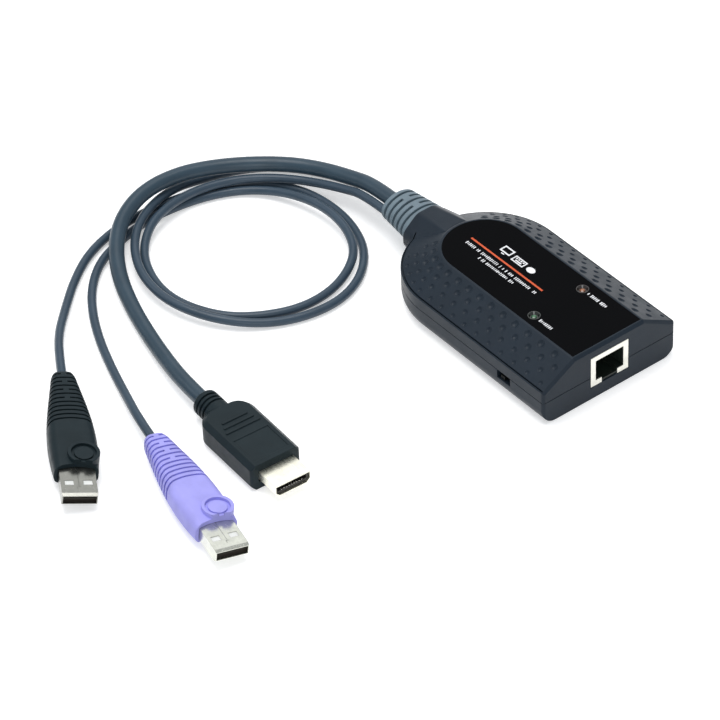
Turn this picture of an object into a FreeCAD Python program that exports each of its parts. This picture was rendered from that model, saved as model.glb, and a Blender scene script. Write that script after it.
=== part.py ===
import FreeCAD, Part
import Sketcher
import math
import os

# KVM adapter dongle: a two-part moulded housing with a network jack at one end and a slotted boot
# at the other, from which a video cord and two data cords run to their plugs.
# Frame: origin under the middle of the housing, +X to the network jack, +Z up, millimetres.

SIZES = {
    # Housing
    "housing_length": 97.5,
    "origin_lead": 0.75,
    "housing_width": 58.3,
    "housing_height": 21.5,
    "parting_height": 9.25,
    "slope_foot": 13.65,
    "top_width": 30.9,
    "wall": 2.0,
    "bottom_round": 5.5,
    "corner_round": 1.2,
    "end_bevel": 1.0,
    "parting_reveal": 0.25,
    "foot_groove": 0.45,
    "foot_lip": 0.4,
    "ridge_ease": 0.3,
    "ridge_ease_slope": 0.27,
    # Collar round the boot: its mouth follows the boot, and its root is held to the round end
    "collar_out": 3.35,
    "collar_reach": 13.55,
    "collar_over": 0.7,
    "collar_beside": 0.7,
    "collar_under": 1.2,
    "collar_top_width": 7.6,
    "collar_facet": 5.4,
    "collar_round": 4.6,
    "root_below_top": 0.5,
    "root_top_width": 9.4,
    "root_beside": 2.0,
    "root_under": 2.8,
    "root_round": 1.0,
    # Dimples on the sloped sides
    "dimple_pitch": 7.0,
    "dimple_closing": 0.97,
    "dimple_closing_by_row": 0.003,
    "dimple_turned_pitch": 0.85,
    "dimple_last_turn": 54.0,
    "dimple_first": 7.6,
    "dimple_first_between": 4.0,
    "dimple_radius": 1.5,
    "dimple_shrink": 0.2,
    "dimple_depth_share": 0.4,
    "dimple_row_first": 2.6,
    "dimple_row_pitch": 3.5,
    # Label and the lights in it
    "label_thickness": 0.25,
    "label_margin": 0.5,
    "label_clearance": 0.12,
    "window_radius": 2.3,
    "window_back": 26.4,
    "window_spread": 21.4,
    "pipe_clearance": 0.1,
    "pipe_flange": 0.8,
    "pipe_dish": 0.8,
    # Network jack
    "jack_width": 16.5,
    "jack_headroom": 1.9,
    "jack_depth": 21.0,
    "jack_clearance": 0.2,
    "shield_sheet": 0.4,
    "socket_width": 12.2,
    "socket_roof": 2.0,
    "socket_floor": 2.1,
    "socket_depth": 14.5,
    "latch_width": 6.9,
    # Circuit board
    "board_gap": 0.3,
    "board_past_round": 9.5,
    "board_edge_gap": 2.65,
    "board_thickness": 1.6,
    "board_height": 3.6,
    "header_length": 6.0,
    "header_width": 16.0,
    "header_height": 9.6,
    "chips_ahead": 16.0,
    "video_chip_side": 14.0,
    "control_chip_side": 9.0,
    "control_chip_ahead": 25.0,
    "control_chip_inset": 4.5,
    "crystal_length": 5.0,
    "crystal_width": 3.2,
    "crystal_inset": 8.5,
    "magnetics_length": 12.0,
    "magnetics_width": 14.0,
    "magnetics_back": 36.5,
    "capacitor_radius": 2.4,
    "capacitor_height": 6.0,
    "capacitor_pitch": 6.0,
    "capacitor_inset": 10.0,
    # Screws and bosses
    "screw_front": 11.5,
    "screw_rear": 3.5,
    "screw_inset": 8.65,
    "screw_radius": 1.0,
    "screw_length": 9.0,
    "screw_head_radius": 2.1,
    "screw_head": 1.6,
    "screw_clearance": 0.12,
    "boss_radius": 3.0,
    "boss_top": 7.0,
    "standoff_radius": 4.2,
    "counterbore": 2.2,
    # Mode switch in the side wall
    "switch_back": 20.5,
    "switch_window": 6.8,
    "switch_window_height": 3.15,
    "switch_length": 9.0,
    "switch_depth": 5.0,
    "switch_height": 3.5,
    "knob_length": 2.0,
    "knob_height": 1.5,
    "knob_travel": 2.0,
    "knob_recess": 0.6,
    "knob_clearance": 0.2,
    # Boot
    "boot_length": 16.0,
    "boot_height": 11.5,
    "boot_root_half_width": 9.5,
    "boot_root_half_height": 6.3,
    "boot_tip_half_width": 7.4,
    "boot_tip_half_height": 5.5,
    "boot_tip_round": 1.2,
    "boot_slot": 1.1,
    "boot_slot_pitch": 2.75,
    "boot_slot_depth": 1.1,
    "boot_slot_foot": 7.6,
    "boot_rib": 2.8,
    "boot_neck_step": 2.3,
    "boot_flange_step": 1.8,
    "boot_flange": 1.8,
    # Cords
    "video_cord_radius": 2.8,
    "data_cord_radius": 1.6,
    "tail_inset": 0.3,
    "cord_first_run": 12.4,
    "cord_last_run": 11.0,
    "video_cord_last_run": 13.0,
    # Data plugs
    "data_shell_width": 12.0,
    "data_shell_height": 4.5,
    "data_shell_sheet": 0.3,
    "data_shell_out": 12.5,
    "data_shell_in": 6.0,
    "shell_lip": 1.1,
    "shell_lip_drop": 0.5,
    "shell_lip_inset": 0.15,
    "shell_seam": 0.14,
    "shell_seam_depth": 0.12,
    "shell_window_width": 3.0,
    "shell_window_length": 2.4,
    "shell_window_back": 6.3,
    "shell_window_spread": 6.2,
    "data_plug_height": 5.3,
    "data_grip_length": 50.5,
    "data_grip_corner": 0.7,
    "data_tongue": 1.6,
    "leaf_thickness": 0.6,
    "grip_slot": 0.75,
    "grip_slot_pitch": 2.2,
    "grip_slot_depth": 0.6,
    "grip_slot_first": 2.3,
    "grip_slot_sweep": 16.0,
    "grip_rib": 1.8,
    "grip_lip_sweep": 16.9,
    "grip_lip_depth": 1.3,
    "disc_radius": 5.4,
    "disc_back": 17.8,
    "disc_side": 2.6,
    "disc_rise": 1.1,
    "disc_rim": 1.15,
    "disc_dish": 1.0,
    "button_radius": 3.2,
    "button_rise": 0.55,
    # Video plug
    "video_shell_width": 13.9,
    "video_shell_height": 4.45,
    "video_shell_chamfer": 1.3,
    "video_shell_sheet": 0.3,
    "video_shell_out": 9.8,
    "video_shell_in": 7.0,
    "video_plug_height": 5.2,
    "video_grip_length": 33.4,
    "video_grip_width": 19.6,
    "video_grip_height": 10.2,
    "video_shoulder_round": 6.5,
    "video_nose_round": 1.2,
    "video_edge": 1.7,
    "video_neck_length": 9.0,
    "video_neck_radius": 4.9,
    "video_neck_groove": 0.9,
    "bar_length": 13.5,
    "bar_width": 0.8,
    "bar_pitch": 2.5,
    "bar_back": 28.8,
    "bar_height": 0.35,
    "recess_length": 12.4,
    "recess_width": 13.6,
    "recess_depth": 0.2,
    # Where the plugs lie, the way they point from +X and how far they are rolled, in degrees
    "video_plug_x": 23.0,
    "video_plug_y": -113.9,
    "video_plug_turn": -3.1,
    "video_plug_roll": 0.0,
    "black_plug_x": -16.0,
    "black_plug_y": -171.9,
    "black_plug_turn": -30.3,
    "black_plug_roll": -8.4,
    "violet_plug_x": 36.7,
    "violet_plug_y": -149.3,
    "violet_plug_turn": -12.4,
    "violet_plug_roll": -6.9,
}

# Where each cord leaves the boot: sideways and up
CORD_EXITS = {"video": (-0.6, 12.3), "black": (3.2, 8.6), "violet": (-5.0, 10.4)}

# Corner points of the cords' routes between their straight ends at the boot and at the plug
VIDEO_ROUTE = [
    (-87, -1.9, 10.0), (-98, -5.4, 8.8), (-108, -11.2, 8.2), (-116.8, -20.4, 8.2), (-124.3, -33, 9.0),
    (-129, -47.3, 10.0), (-129.3, -62.3, 9.8), (-124.2, -75.5, 8.0), (-114.6, -85.6, 6.2),
    (-102.2, -93.2, 4.0), (-88, -98.5, 2.9), (-73, -102.9, 2.9), (-58.5, -106.5, 3.4),
]
BLACK_ROUTE = [
    (-86.3, 3.5, 4.9), (-97, 1.6, 2.4), (-108, -3.4, 1.7), (-118.5, -12, 1.7), (-126, -24, 1.7),
    (-130, -37, 1.7), (-129.8, -48, 3.8), (-126.6, -59.5, 5.5), (-121, -71, 5.1), (-111.3, -80.3, 5.1),
    (-98.5, -86.8, 4.6), (-83.5, -88.8, 4.3), (-69, -85, 3.9), (-57, -76.5, 2.9), (-49, -65, 1.7),
    (-44.6, -52, 1.7), (-44.8, -39, 1.7), (-50.2, -27.2, 1.7), (-60.2, -17.5, 1.7), (-73.5, -12.2, 1.7),
    (-88, -10.8, 1.7), (-102.5, -13.6, 1.7), (-114.8, -22, 1.7), (-122.5, -34.2, 1.7), (-126.2, -48, 1.7),
    (-128, -62, 1.7), (-127, -76.5, 1.7), (-122.3, -91.5, 1.7), (-113.3, -104.6, 1.7), (-101.8, -116.8, 2.0),
    (-91.6, -126.6, 3.4),
]
VIOLET_ROUTE = [
    (-86.3, -6.1, 7.6), (-96.3, -9.3, 5.8), (-105, -14.4, 5.1), (-112.3, -21.6, 5.1), (-118.7, -31, 5.1),
    (-122.5, -43.5, 5.1), (-122, -57, 5.1), (-117.8, -68.5, 4.6), (-109.5, -77.8, 2.3), (-98, -83, 1.7),
    (-85.5, -85, 1.7), (-73.5, -82.3, 1.7), (-62.5, -76, 1.7), (-54.8, -66, 1.7), (-50, -54, 1.7),
    (-50.2, -41.5, 1.7), (-54.5, -30, 1.9), (-61, -21.3, 3.6), (-72, -16.8, 4.9), (-85, -15.7, 5.0),
    (-98, -18.3, 4.1), (-109, -23.5, 2.5), (-116.8, -31.7, 1.7), (-121.2, -42.5, 1.7), (-123.3, -54.5, 1.7),
    (-123.5, -67, 1.7), (-120.5, -79.5, 1.7), (-115.5, -92, 1.7), (-106, -102.5, 1.7), (-94, -110.7, 1.7),
    (-80.5, -117.3, 1.7), (-66, -122.7, 1.7), (-51.5, -127.5, 2.3),
]

Vector = FreeCAD.Vector
UP = FreeCAD.Rotation()
ALONG_X = FreeCAD.Rotation(Vector(0, 1, 0), 90)
# Sketch axes onto world Y and Z, with the sketch's normal along X
FACING_X = FreeCAD.Rotation(Vector(1, 1, 1), 120)

doc = FreeCAD.newDocument("kvm_dongle")
sheet = doc.addObject("Spreadsheet::Sheet", "sizes")


class Size:
    # A length that keeps both its value and the sheet formula that it follows

    def __init__(self, text, value):
        self.text = text
        self.value = value

    def joined(self, sign, other, value):
        return Size("(%s %s %s)" % (self.text, sign, size(other).text), value)

    def __add__(self, other):
        return self.joined("+", other, self.value + size(other).value)

    def __sub__(self, other):
        return self.joined("-", other, self.value - size(other).value)

    def __mul__(self, other):
        return self.joined("*", other, self.value * size(other).value)

    def __truediv__(self, other):
        return self.joined("/", other, self.value / size(other).value)

    def __rsub__(self, other):
        return size(other) - self

    def __radd__(self, other):
        return size(other) + self

    def __rmul__(self, other):
        return size(other) * self

    def __neg__(self):
        return Size("(0 - %s)" % self.text, -self.value)


def size(number):
    return number if isinstance(number, Size) else Size("(%r)" % float(number), float(number))


def root(number):
    return Size("sqrt(%s)" % number.text, math.sqrt(number.value))


def sheet_sizes():
    found = {}
    for row, (name, value) in enumerate(SIZES.items(), start=1):
        sheet.set("A%d" % row, name)
        sheet.set("B%d" % row, str(value))
        sheet.setAlias("B%d" % row, name)
        found[name] = Size("sizes." + name, value)
    doc.recompute()
    return found


S = sheet_sizes()
FRONT = S["housing_length"] / 2 + S["origin_lead"]
MOUTH_X = FRONT - S["housing_length"]
HALF_WIDTH = S["housing_width"] / 2
ROUND_X = MOUTH_X + S["collar_out"] + HALF_WIDTH
COLLAR_ROOT_X = ROUND_X - HALF_WIDTH + S["collar_reach"]
HALF_TOP = S["top_width"] / 2
RUN = HALF_WIDTH - HALF_TOP
RISE = S["housing_height"] - S["slope_foot"]
SLOPE = root(RUN * RUN + RISE * RISE)
BOARD_TOP = S["board_height"] + S["board_thickness"]
BOARD_FRONT = FRONT - S["wall"] - S["board_gap"]
BOARD_REAR = ROUND_X - S["board_past_round"]
BOARD_HALF = HALF_WIDTH - S["wall"] - S["board_edge_gap"]
JACK_TOP = S["housing_height"] - S["wall"] - S["jack_headroom"]
SOCKET_BOTTOM = BOARD_TOP + S["socket_floor"]
SOCKET_TOP = JACK_TOP - S["socket_roof"]
BOOT_TIP_X = MOUTH_X - S["boot_length"]


def bind(item, **formulas):
    for name, formula in formulas.items():
        item.setExpression(name, size(formula).text)


def place(item, x, y, z, turn=UP):
    x, y, z = size(x), size(y), size(z)
    item.Placement = FreeCAD.Placement(Vector(x.value, y.value, z.value), turn)
    for axis, formula in zip("xyz", (x, y, z)):
        item.setExpression("Placement.Base." + axis, formula.text)
    return item


def box(name, length, width, height, x, y, z):
    item = doc.addObject("Part::Box", name)
    bind(item, Length=length, Width=width, Height=height)
    return place(item, x, y, z)


def slab(name, low, high, half_width, bottom, top):
    # A box from low to high along X, centred across Y
    return box(name, high - low, half_width * 2, top - bottom, low, -half_width, bottom)


def cylinder(name, radius, height, x, y, z, turn=UP):
    item = doc.addObject("Part::Cylinder", name)
    bind(item, Radius=radius, Height=height)
    return place(item, x, y, z, turn)


def cone(name, low_radius, high_radius, height, x, y, z):
    item = doc.addObject("Part::Cone", name)
    bind(item, Radius1=low_radius, Radius2=high_radius, Height=height)
    return place(item, x, y, z)


def fuse(name, items):
    item = doc.addObject("Part::MultiFuse", name)
    item.Shapes = items
    item.Refine = True
    return item


def cut(name, base, tools):
    item = doc.addObject("Part::Cut", name)
    item.Base = base
    item.Tool = tools[0] if len(tools) == 1 else fuse(name + "_tools", tools)
    return item


def common(name, first, second):
    item = doc.addObject("Part::MultiCommon", name)
    item.Shapes = [first, second]
    return item


def edges_of(item, wanted):
    doc.recompute()
    return [number for number, edge in enumerate(item.Shape.Edges, start=1) if wanted(edge)]


def fillet(name, base, edges):
    # edges: pairs of edge number and radius
    item = doc.addObject("Part::Fillet", name)
    item.Base = base
    item.Edges = [(number, radius, radius) for number, radius in edges]
    return item


def chamfer(name, base, edges):
    # edges: edge number and the two setbacks
    item = doc.addObject("Part::Chamfer", name)
    item.Base = base
    item.Edges = edges
    return item


def draw(sketch, points):
    # A closed outline whose corners are held by formulas for their two coordinates
    corners = [(size(a), size(b)) for a, b in points]
    count = len(corners)
    for i in range(count):
        start, end = corners[i], corners[(i + 1) % count]
        sketch.addGeometry(Part.LineSegment(Vector(start[0].value, start[1].value, 0),
                                            Vector(end[0].value, end[1].value, 0)), False)
    for i in range(count):
        sketch.addConstraint(Sketcher.Constraint("Coincident", i, 2, (i + 1) % count, 1))
    for i, corner in enumerate(corners):
        for kind, axis, formula in (("DistanceX", -2, corner[0]), ("DistanceY", -1, corner[1])):
            if abs(formula.value) < 1e-9:
                sketch.addConstraint(Sketcher.Constraint("PointOnObject", i, 1, axis))
                continue
            ends = (-1, 1, i, 1) if formula.value > 0 else (i, 1, -1, 1)
            number = sketch.addConstraint(Sketcher.Constraint(kind, *ends, abs(formula.value)))
            text = formula.text if formula.value > 0 else (-formula).text
            sketch.setExpression("Constraints[%d]" % number, text)


def computed(name, shape):
    item = doc.addObject("Part::Feature", name)
    item.Shape = shape
    return item


def bend(before, corner, after, radius):
    # Start, middle and end of the arc that rounds one corner
    back, ahead = (before - corner).normalize(), (after - corner).normalize()
    turn = math.pi - back.getAngle(ahead)
    reach = radius * math.tan(turn / 2)
    middle = corner + (back + ahead).normalize() * (radius / math.cos(turn / 2) - radius)
    return corner + back * reach, middle, corner + ahead * reach


def rounded_wire(points, radius, x):
    # A closed outline across X with every corner rounded
    corners = [Vector(size(x).value, size(y).value, size(z).value) for y, z in points]
    before, after = corners[-1:] + corners[:-1], corners[1:] + corners[:1]
    arcs = [bend(*three, size(radius).value) for three in zip(before, corners, after)]
    edges = []
    for (start, middle, end), (following, _, _) in zip(arcs, arcs[1:] + arcs[:1]):
        edges.append(Part.Arc(start, middle, end).toShape())
        edges.append(Part.LineSegment(end, following).toShape())
    return Part.Wire(edges)


def section(name, points, x):
    sketch = doc.addObject("Sketcher::SketchObject", name)
    draw(sketch, points)
    return place(sketch, x, 0, 0, FACING_X)


def ellipse(name, half_width, half_height, x, y, z):
    item = doc.addObject("Part::Ellipse", name)
    bind(item, MajorRadius=half_width, MinorRadius=half_height)
    return place(item, x, y, z, FACING_X)


def loft(name, sections, ruled):
    item = doc.addObject("Part::Loft", name)
    item.Sections = sections
    item.Solid = True
    item.Ruled = ruled
    return item


def oval_bar(name, half_width, half_height, low, high, z):
    # An elliptical bar along X
    item = doc.addObject("Part::Extrusion", name)
    item.Base = ellipse(name + "_end", half_width, half_height, low, 0, z)
    item.DirMode = "Custom"
    item.Dir = Vector(1, 0, 0)
    item.Solid = True
    bind(item, LengthFwd=high - low)
    return item


def origin_plane(body, role):
    return [item for item in body.Origin.OriginFeatures if item.Role == role][0]


def body_sketch(body, name, role):
    sketch = body.newObject("Sketcher::SketchObject", name)
    sketch.AttachmentSupport = [(origin_plane(body, role), "")]
    sketch.MapMode = "FlatFace"
    return sketch


def circle_in(sketch, x, y, radius):
    x, y, radius = size(x), size(y), size(radius)
    number = sketch.addGeometry(Part.Circle(Vector(x.value, y.value, 0), Vector(0, 0, 1), radius.value), False)
    for kind, formula in (("DistanceX", x), ("DistanceY", y)):
        ends = (-1, 1, number, 3) if formula.value > 0 else (number, 3, -1, 1)
        text = formula.text if formula.value > 0 else (-formula).text
        held = sketch.addConstraint(Sketcher.Constraint(kind, *ends, abs(formula.value)))
        sketch.setExpression("Constraints[%d]" % held, text)
    held = sketch.addConstraint(Sketcher.Constraint("Radius", number, radius.value))
    sketch.setExpression("Constraints[%d]" % held, radius.text)


def pad(body, sketch, name, length):
    item = body.newObject("PartDesign::Pad", name)
    item.Profile = sketch
    bind(item, Length=length)
    body.Tip = item
    return item


def revolve(body, sketch, name):
    item = body.newObject("PartDesign::Revolution", name)
    item.Profile = sketch
    item.ReferenceAxis = (sketch, ["V_Axis"])
    item.Angle = 360
    body.Tip = item
    return item


# ---------------------------------------------------------------- housing

def plan_block(name, half_width, bottom, top, front):
    # The housing's plan, straight sides and a half-round cable end, as a block
    return fuse(name, [
        slab(name + "_straight", ROUND_X, front, half_width, bottom, top),
        cylinder(name + "_round", half_width, top - bottom, ROUND_X, 0, bottom),
    ])


def tent(name, foot_half, foot, top_half, top, front):
    # The sloped upper part: a ridge with level top, ending in a half cone
    ridge = doc.addObject("Part::Wedge", name + "_ridge")
    bind(ridge, Xmin=ROUND_X, Xmax=front, X2min=ROUND_X, X2max=front, Ymin=foot, Ymax=top,
         Zmin=-foot_half, Zmax=foot_half, Z2min=-top_half, Z2max=top_half)
    ridge.Placement = FreeCAD.Placement(Vector(0, 0, 0), FreeCAD.Rotation(Vector(1, 0, 0), 90))
    return fuse(name, [ridge, cone(name + "_round", foot_half, top_half, top - foot, ROUND_X, 0, foot)])


def collar_section(name, half, top, top_width, bottom, corner, inset, x):
    # Half of it, then its mirror image: level top, one facet, upright side and a cut lower corner
    half, base = half - inset, bottom + inset
    right = [(half * 0.55, base), (half, base + half * 0.3), (half, top - S["collar_facet"] - inset * 0.4),
             (top_width / 2 - inset * 0.4, top - inset)]
    outline = right + [(-y, z) for y, z in reversed(right)]
    return computed(name, rounded_wire(outline, corner.value - min(inset.value, corner.value / 2), x))


def collar(name, inset, mouth_x, root_x):
    half = S["boot_root_half_width"]
    top = S["boot_height"] + S["boot_root_half_height"]
    bottom = S["boot_height"] - S["boot_root_half_height"]
    mouth = collar_section(name + "_mouth", half + S["collar_beside"], top + S["collar_over"], S["collar_top_width"],
                           bottom - S["collar_under"], S["collar_round"], inset, mouth_x)
    rooted = collar_section(name + "_root", half + S["root_beside"], S["housing_height"] - S["root_below_top"],
                            S["root_top_width"], bottom - S["root_under"], S["root_round"], inset, root_x)
    return loft(name, [mouth, rooted], True)


def ridge_ease():
    # Room below a second, gentler slope, which takes the edge off the ridge
    low_half = HALF_WIDTH + 1
    top_half = HALF_TOP - S["ridge_ease"]
    foot = S["housing_height"] - (low_half - top_half) * S["ridge_ease_slope"]
    return fuse("ridge_ease", [
        plan_block("ease_base", low_half, size(-1), foot, FRONT + 1),
        tent("ease_tent", low_half, foot, top_half, S["housing_height"], FRONT + 1),
    ])


def front_bevel():
    # Room inside a bevel along the top and sloping edges of the jack end
    bevel = S["end_bevel"]
    reach = HALF_WIDTH + 3

    def outline(inset):
        top = S["housing_height"] - inset
        top_half = HALF_WIDTH - (inset * SLOPE + (RISE - inset) * RUN) / RISE
        low = top - (reach - top_half) * RISE / RUN
        return [(-reach, -1), (reach, -1), (reach, low), (top_half, top), (-top_half, top), (-reach, low)]

    drawn_in = loft("bevel_drawn_in", [section("bevel_back", outline(size(0)), FRONT - bevel),
                                       section("bevel_front", outline(bevel * 2), FRONT + bevel)], True)
    behind = slab("bevel_behind", MOUTH_X - 5, FRONT - bevel, reach, size(-1), S["housing_height"] + 1)
    return fuse("front_bevel", [behind, drawn_in])


def rounded_block(name, half_width, bottom, front, round_edge, corner):
    block = plan_block(name + "_block", half_width, bottom, S["housing_height"] + 1, front)
    low = edges_of(block, lambda e: e.BoundBox.ZMax < bottom.value + 0.01 and e.BoundBox.XLength > 1)
    upright = edges_of(block, lambda e: e.BoundBox.ZLength > 1 and e.BoundBox.XMin > front.value - 0.01)
    return fillet(name, block, [(n, round_edge.value) for n in low] + [(n, corner.value) for n in upright])


def housing_outside():
    solid = fuse("outside_form", [
        plan_block("outside_base", HALF_WIDTH, size(0), S["slope_foot"], FRONT),
        tent("outside_tent", HALF_WIDTH, S["slope_foot"], HALF_TOP, S["housing_height"], FRONT),
    ])
    edged = common("outside_edged", solid,
                   rounded_block("outside_rounds", HALF_WIDTH, size(0), FRONT, S["bottom_round"], S["corner_round"]))
    bevelled = common("outside_bevelled", edged, front_bevel())
    eased = common("outside_eased", bevelled, ridge_ease())
    return fuse("outside", [eased, collar("collar_outside", size(0), MOUTH_X, COLLAR_ROOT_X)])


def housing_inside():
    wall = S["wall"]
    half = HALF_WIDTH - wall
    front = FRONT - wall
    # Where the slope's inner face, one wall in, meets the inner side and the inner top
    foot = S["slope_foot"] - wall * (SLOPE - RISE) / RUN
    top_half = HALF_WIDTH - (wall * SLOPE + (RISE - wall) * RUN) / RISE
    form = fuse("inside_form", [
        plan_block("inside_base", half, wall, foot, front),
        tent("inside_tent", half, foot, top_half, S["housing_height"] - wall, front),
    ])
    hollow = common("inside_edged", form,
                    rounded_block("inside_rounds", half, wall, front, S["bottom_round"] - wall, S["corner_round"] / 2))
    return fuse("inside", [hollow, collar("collar_inside", wall * 0.75, MOUTH_X + wall, COLLAR_ROOT_X + wall)])


def boot_hole():
    grown = 0.15
    half = S["boot_root_half_width"] - S["boot_neck_step"] + grown
    tall = S["boot_root_half_height"] - S["boot_neck_step"] + grown
    reach = S["wall"] + 2
    return oval_bar("boot_hole", half, tall, MOUTH_X - 1, MOUTH_X - 1 + reach, S["boot_height"])


def jack_hole():
    gap = S["jack_clearance"]
    return slab("jack_hole", FRONT - S["wall"] - 1, FRONT + 1, S["jack_width"] / 2 + gap, BOARD_TOP - gap, JACK_TOP + gap)


def along_row(distance, radius):
    # Plan position at a distance from the jack end along one row, and the turn made round the cable end
    straight = (FRONT - ROUND_X).value
    if distance <= straight:
        return FRONT.value - distance, radius, 0.0
    angle = (distance - straight) / radius
    return ROUND_X.value - radius * math.sin(angle), radius * math.cos(angle), angle


def row_distances(row):
    # The dimples stand closer and closer together towards the cable end, and closer still round it
    distance = S["dimple_first_between" if row % 2 else "dimple_first"].value
    pitch = S["dimple_pitch"].value
    while True:
        yield distance
        turned = distance > (FRONT - ROUND_X).value - pitch / 2
        distance += pitch * (S["dimple_turned_pitch"].value if turned else 1)
        pitch *= S["dimple_closing"].value + S["dimple_closing_by_row"].value * row


def dimple_cutters():
    # Staggered rows of round hollows on the slope, largest by the ridge
    run, rise, slope = RUN.value, RISE.value, SLOPE.value
    cutters = []
    for row in range(4):
        radius = S["dimple_radius"].value - row * S["dimple_shrink"].value
        depth = radius * S["dimple_depth_share"].value
        ball = (radius * radius + depth * depth) / (2 * depth)
        across = S["dimple_row_first"].value + row * S["dimple_row_pitch"].value
        plan_radius = HALF_TOP.value + across * run / slope
        height = S["housing_height"].value - across * rise / slope
        for distance in row_distances(row):
            x, y, angle = along_row(distance, plan_radius)
            if math.degrees(angle) > S["dimple_last_turn"].value:
                break
            for side in (1, -1):
                out = Vector(-math.sin(angle) * rise, side * math.cos(angle) * rise, run).normalize()
                cutters.append(Part.makeSphere(ball, Vector(x, side * y, height) + out * (ball - depth)))
    return computed("dimple_cutters", Part.makeCompound(cutters))


def foot_groove_cutter():
    # A fine groove that sets the dimpled slope off from the upright side below it
    outer = HALF_WIDTH - S["foot_lip"]
    low = S["slope_foot"] - S["foot_groove"]
    front = FRONT - S["end_bevel"]
    return cut("foot_groove", plan_block("foot_groove_outer", outer, low, S["slope_foot"] + 2, front),
               [plan_block("foot_groove_inner", outer - S["foot_groove"], low - 1, S["slope_foot"] + 3, front + 2)])


def parting_groove():
    # A reveal round the foot of the top cover
    reveal = S["parting_reveal"]
    top = S["parting_height"] + reveal
    outer = plan_block("reveal_outer", HALF_WIDTH + 5, S["parting_height"] - 1, top, FRONT + 5)
    inner = plan_block("reveal_inner", HALF_WIDTH - reveal, S["parting_height"] - 2, top + 1, FRONT - reveal)
    return cut("parting_groove", outer, [inner, collar("reveal_collar", reveal, MOUTH_X + reveal,
               COLLAR_ROOT_X + reveal)])


def screw_places():
    for x in (FRONT - S["screw_front"], ROUND_X + S["screw_rear"]):
        for side in (1, -1):
            yield x, (HALF_WIDTH - S["screw_inset"]) * side


def top_cover(outside, shell, openings):
    high = S["housing_height"] + 5
    upper = common("top_half", shell, box("above_parting", S["housing_length"] * 2, S["housing_width"] * 2, high,
                   -FRONT * 2, -S["housing_width"], S["parting_height"]))
    bosses = fuse("top_bosses", [cylinder("top_boss_%d" % i, S["boss_radius"], high - S["boss_top"], x, y, S["boss_top"])
                                 for i, (x, y) in enumerate(screw_places())])
    shaped = fuse("top_shaped", [upper, common("top_bosses_trimmed", outside, bosses)])
    pocket = plan_block("label_pocket", HALF_TOP - S["label_margin"], S["housing_height"] - S["label_thickness"],
                        high, FRONT - S["end_bevel"] - S["label_margin"])
    holes = [cylinder("window_%d" % side, S["window_radius"], high, FRONT - S["window_back"],
                      S["window_spread"] / 2 * side, BOARD_TOP + 5) for side in (1, -1)]
    pilot = S["screw_radius"] + S["screw_clearance"]
    holes += [cylinder("pilot_%d" % i, pilot, S["counterbore"] + S["screw_length"] + 0.5 - S["boss_top"] + 1, x, y,
                       S["boss_top"] - 1) for i, (x, y) in enumerate(screw_places())]
    plain = cut("top_cover_plain", shaped, [pocket, foot_groove_cutter(), parting_groove()] + openings + holes)
    return cut("top_cover", plain, [dimple_cutters()])


def bottom_cover(outside, shell, openings):
    lower = common("bottom_half", shell, box("below_parting", S["housing_length"] * 2, S["housing_width"] * 2,
                   S["parting_height"] + 1, -FRONT * 2, -S["housing_width"], -1))
    posts = []
    drills = []
    for i, (x, y) in enumerate(screw_places()):
        posts.append(cylinder("boss_%d" % i, S["boss_radius"], S["boss_top"], x, y, 0))
        posts.append(cylinder("standoff_%d" % i, S["standoff_radius"], S["board_height"], x, y, 0))
        drills.append(cylinder("counterbore_%d" % i, S["screw_head_radius"] + 0.3, S["counterbore"] + 1, x, y, -1))
        drills.append(cylinder("shank_hole_%d" % i, S["screw_radius"] + 0.3, S["boss_top"] + 2, x, y, -1))
    kept = common("bosses_trimmed", fuse("bosses", posts), outside)
    window = box("switch_window", S["switch_window"], S["wall"] * 3, S["switch_window_height"] + 1,
                 FRONT - S["switch_back"] - S["switch_window"] / 2, -HALF_WIDTH - S["wall"],
                 S["parting_height"] - S["switch_window_height"])
    return cut("bottom_cover", fuse("bottom_shaped", [lower, kept]), drills + [window] + openings)


def label_film():
    half = HALF_TOP - S["label_margin"] - S["label_clearance"]
    front = FRONT - S["end_bevel"] - S["label_margin"] - S["label_clearance"]
    bottom = S["housing_height"] - S["label_thickness"]
    blank = plan_block("label_blank", half, bottom, S["housing_height"], front)
    holes = [cylinder("label_hole_%d" % side, S["window_radius"] + 0.05, 3, FRONT - S["window_back"],
                      S["window_spread"] / 2 * side, bottom - 1) for side in (1, -1)]
    return cut("label_film", blank, holes)


def light_pipe(name, side):
    # Clear rod under its window, with a flange against the cover and a lens in its dished head
    body = doc.addObject("PartDesign::Body", name)
    sketch = body_sketch(body, name + "_profile", "XZ_Plane")
    radius = S["window_radius"] - S["pipe_clearance"]
    foot = BOARD_TOP + 1.4
    ceiling = S["housing_height"] - S["wall"]
    head = S["housing_height"] - 0.1
    dish = head - S["pipe_dish"]
    draw(sketch, [(0, foot), (radius * 0.8, foot), (radius, foot + 1), (radius, ceiling - 1),
                  (radius + S["pipe_flange"], ceiling - 1), (radius + S["pipe_flange"], ceiling), (radius, ceiling),
                  (radius, head), (radius - 0.25, head), (radius * 0.62, dish), (radius * 0.5, dish),
                  (radius * 0.42, dish + 0.25), (radius * 0.24, dish + 0.42), (0, dish + 0.5)])
    revolve(body, sketch, name + "_turned")
    place(body, FRONT - S["window_back"], S["window_spread"] / 2 * side, 0)
    return body


def light_emitter(name, side):
    base = box(name + "_base", 3.2, 2.4, 0.6, FRONT - S["window_back"] - 1.6, S["window_spread"] / 2 * side - 1.2,
               BOARD_TOP)
    lens = box(name + "_lens", 2.0, 1.6, 0.5, FRONT - S["window_back"] - 1.0, S["window_spread"] / 2 * side - 0.8,
               BOARD_TOP + 0.6)
    return fuse(name, [base, lens])


# ---------------------------------------------------------------- electronics

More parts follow.
